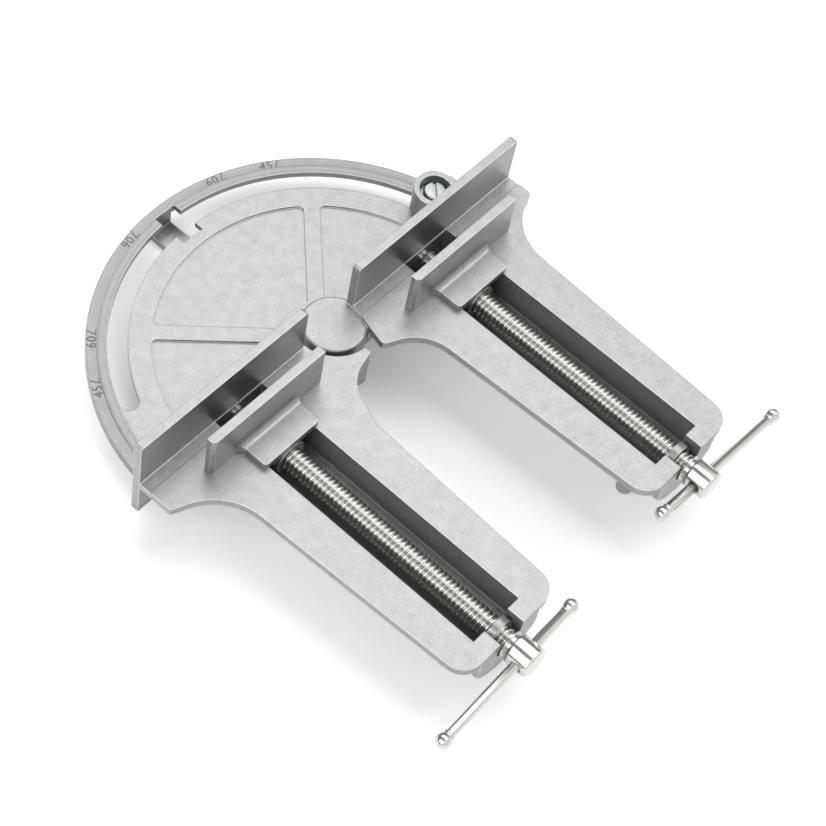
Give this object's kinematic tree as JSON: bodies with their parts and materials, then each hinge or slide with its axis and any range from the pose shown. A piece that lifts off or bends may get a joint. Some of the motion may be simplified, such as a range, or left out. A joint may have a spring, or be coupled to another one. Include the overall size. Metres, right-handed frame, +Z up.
{
  "type": "corner clamp",
  "caption": "Cast metal multi-angle corner and splicing clamp with two screw-driven jaws and a swinging arm locked on a half-disc scale.",
  "frame": {"origin": "on the swing arm's pivot axis, in the plane of the bench that the feet stand on", "axes": "+Z up along the pivot axis; the fence faces lie in y = 0 with the arms in line, and the arms reach towards -Y; the fixed arm is on -X"},
  "size_m": [0.2212, 0.2566, 0.0575],
  "materials": {
    "cast_metal": "as cast, satin",
    "jaw_metal": "as cast, satin",
    "bright_steel": "rolled, bright",
    "nickel": "bright plated",
    "zinc_steel": "zinc plated",
    "spring_steel": "dark spring steel"
  },
  "bodies": {
    "base": {"base_casting": "cast_metal"},
    "swing_arm": {"swing_arm_casting": "cast_metal", "pivot_washer": "zinc_steel", "pivot_screw": "zinc_steel"},
    "left_screw": {"left_spindle": "bright_steel", "left_spindle_head": "nickel", "left_thrust_washer": "zinc_steel", "left_retaining_ring": "spring_steel"},
    "right_screw": {"right_spindle": "bright_steel", "right_spindle_head": "nickel", "right_thrust_washer": "zinc_steel", "right_retaining_ring": "spring_steel"},
    "left_jaw_slide": {"left_jaw": "jaw_metal"},
    "right_jaw_slide": {"right_jaw": "jaw_metal"},
    "left_bar": {"left_tommy_bar": "nickel", "left_bar_ball": "nickel"},
    "right_bar": {"right_tommy_bar": "nickel", "right_bar_ball": "nickel"},
    "lock_bolt": {"lock_screw": "zinc_steel", "lock_washer": "zinc_steel"},
    "lock_slider": {"lock_shoe": "bright_steel"}
  },
  "joints": [
    {"name": "arm_swing", "type": "hinge", "parent": "base", "child": "swing_arm", "pos_m": [0, 0, 0.02], "axis": [0, 0, 1], "range_deg": [0, 138]},
    {"name": "left_screw_turn", "type": "hinge", "parent": "base", "child": "left_screw", "pos_m": [-0.0562, -0.07, 0.0259], "axis": [0, 1, 0], "range_deg": [-17433, 2074]},
    {"name": "right_screw_turn", "type": "hinge", "parent": "swing_arm", "child": "right_screw", "pos_m": [0.0562, -0.07, 0.0259], "axis": [0, 1, 0], "range_deg": [-16922, 2534]},
    {"name": "left_jaw_travel", "type": "slide", "parent": "base", "child": "left_jaw_slide", "axis": [0, 1, 0], "range_m": [-0.1026, 0.0123]},
    {"name": "right_jaw_travel", "type": "slide", "parent": "swing_arm", "child": "right_jaw_slide", "axis": [0, 1, 0], "range_m": [-0.0996, 0.015]},
    {"name": "left_bar_slide", "type": "slide", "parent": "left_screw", "child": "left_bar", "axis": [0.9996, 0.0253, 0.0122], "range_m": [-0.01835, 0.03755]},
    {"name": "right_bar_slide", "type": "slide", "parent": "right_screw", "child": "right_bar", "axis": [0.993, -0.0201, -0.1166], "range_m": [-0.03975, 0.01615]},
    {"name": "lock_screw_turn", "type": "hinge", "parent": "swing_arm", "child": "lock_bolt", "pos_m": [0.08497, 0.01868, 0.02], "axis": [0, 0, 1], "range_deg": [0, 903]},
    {"name": "lock_shoe_travel", "type": "slide", "parent": "swing_arm", "child": "lock_slider", "axis": [0, 0, 1], "range_m": [-0.002, 0]}
  ],
  "couplings": [
    {"joint": "left_jaw_travel", "follows": "left_screw_turn", "m_per_rad": 0.00033688},
    {"joint": "right_jaw_travel", "follows": "right_screw_turn", "m_per_rad": 0.00033688},
    {"joint": "lock_screw_turn", "follows": "lock_shoe_travel", "rad_per_m": -7854}
  ]
}
